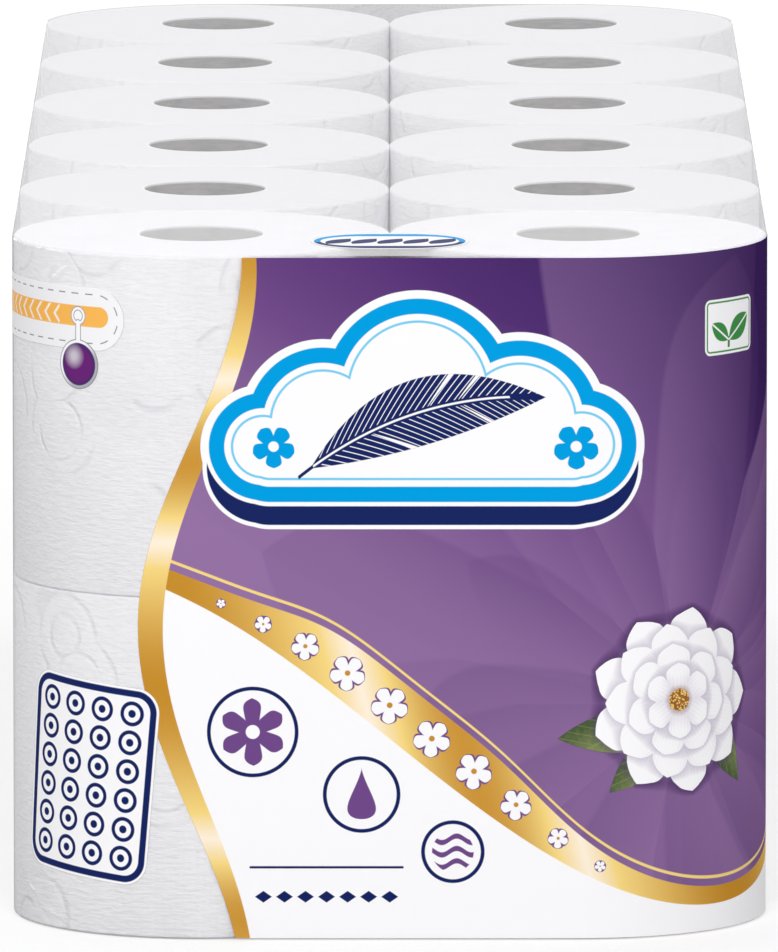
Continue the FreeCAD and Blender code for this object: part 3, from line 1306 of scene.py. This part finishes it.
def makeTopPrint():
    bm = bmesh.new()
    height = bagTop + veil["lift"]
    rim = film["rim"]
    right = [Vector((cornerX + bagRadius - rim, veil["backEdge"], height))]
    for step in range(veil["steps"] + 1):
        right.append(onBag(frontTangent - quarterTurn * step / veil["steps"], height, -rim))
    left = [Vector((-p.x, p.y, p.z)) for p in reversed(right)]
    bm.faces.new([bm.verts.new(p) for p in reversed(right + left)])
    keepFlat(bm)
    return bm


addPiece("top_print_and_sheen", makeTopPrint(), [makeTopFinish()])
print("top printed")


# Studio: pale floor, soft lights, and the camera of the photograph
studio = {
    "ambient": 0.5,
    "floorHalf": 60,
    "floorShade": grey(0.42),
    "floorBounce": grey(0.45),
    "nearGlow": grey(0.573),
    "farGlow": grey(0.8),
    "glowReach": 1.58,
    "aim": (0, 0, 0.1),
    "lamps": {
        "key": {"place": (-0.15, -2.7, 1.4), "size": 2.4, "power": 52.0, "mirrored": False},
        "top": {"place": (0.1, 0.8, 2.3), "size": 2.4, "power": 14.5},
        "left": {"place": (-2.4, 0.3, 0.9), "size": 1.2, "power": 8.0},
        "right": {"place": (2.4, 0.3, 0.9), "size": 1.2, "power": 6.0},
        "backLeft": {"place": (-1.9, 3.0, 0.45), "size": 1.0, "power": 15.0},
        "backRight": {"place": (1.9, 3.0, 0.45), "size": 1.0, "power": 15.0},
    },
}
shot = {
    "distance": 5.2921,
    "elevation": 7.79989,
    "lens": 704.165,
    "aimHeight": 133.56 * mm,
    "aimX": -0.2 * mm,
    "clip": (0.1, 200),
}


def makeFloor():  # as the camera sees it, it also glows, so that it stays white round the shadow
    look = Finish("paleFloor")
    x, y, _ = look.axes(look.place())
    away = (x * x + y * y) / studio["glowReach"] ** 2
    glow = look.mix(away / (1 + away), studio["nearGlow"], studio["farGlow"])
    shown = look.opaque(studio["floorShade"], more={"Emission Color": glow, "Emission Strength": 1.0})
    plain = look.opaque(studio["floorBounce"])
    look.surface(look.over(plain, look.ray("Is Camera Ray"), shown))
    bm = bmesh.new()
    bmesh.ops.create_grid(bm, x_segments=1, y_segments=1, size=studio["floorHalf"])
    mesh = bpy.data.meshes.new("floor")
    bm.to_mesh(mesh)
    bm.free()
    mesh.materials.append(look.holder)
    floor = bpy.data.objects.new("floor", mesh)
    bpy.context.scene.collection.objects.link(floor)


def makeWorld():  # white where it is looked at, dimmer where it lights the pack
    world = bpy.data.worlds.new("studio")
    bpy.context.scene.world = world
    look = Finish("studio", world)
    seen = look.ray("Is Camera Ray").most(look.ray("Is Transmission Ray")).most(look.ray("Is Glossy Ray"))
    dim, white = [look.node("ShaderNodeBackground", {}, {"Color": grey(1), "Strength": strength})
                  for strength in (studio["ambient"], 1.0)]
    look.surface(look.over(dim, seen, white), "ShaderNodeOutputWorld")


def makeLamp(name, place, size, power, mirrored=True):
    data = bpy.data.lights.new(name, "AREA")
    data.shape = "DISK"
    data.size = size
    data.energy = power
    lamp = bpy.data.objects.new(name, data)
    lamp.location = place
    lamp.visible_glossy = mirrored  # the key would burn out the tops that are seen from behind
    lamp.rotation_euler = (Vector(studio["aim"]) - Vector(place)).to_track_quat("-Z", "Y").to_euler()
    bpy.context.scene.collection.objects.link(lamp)


def makeCamera():
    data = bpy.data.cameras.new("camera")
    data.lens = shot["lens"]
    data.clip_start, data.clip_end = shot["clip"]
    camera = bpy.data.objects.new("camera", data)
    bpy.context.scene.collection.objects.link(camera)
    elevation = math.radians(shot["elevation"])
    aim = Vector((shot["aimX"], frontAxisY - bagRadius, shot["aimHeight"]))
    back = Vector((0, -math.cos(elevation), math.sin(elevation)))
    camera.location = aim + shot["distance"] * back
    camera.rotation_euler = (-back).to_track_quat("-Z", "Y").to_euler()
    bpy.context.scene.camera = camera


makeFloor()
makeWorld()
for name, lamp in studio["lamps"].items():
    makeLamp(name, **lamp)
makeCamera()
bpy.context.scene.view_settings.view_transform = "Standard"
print("studio ready")
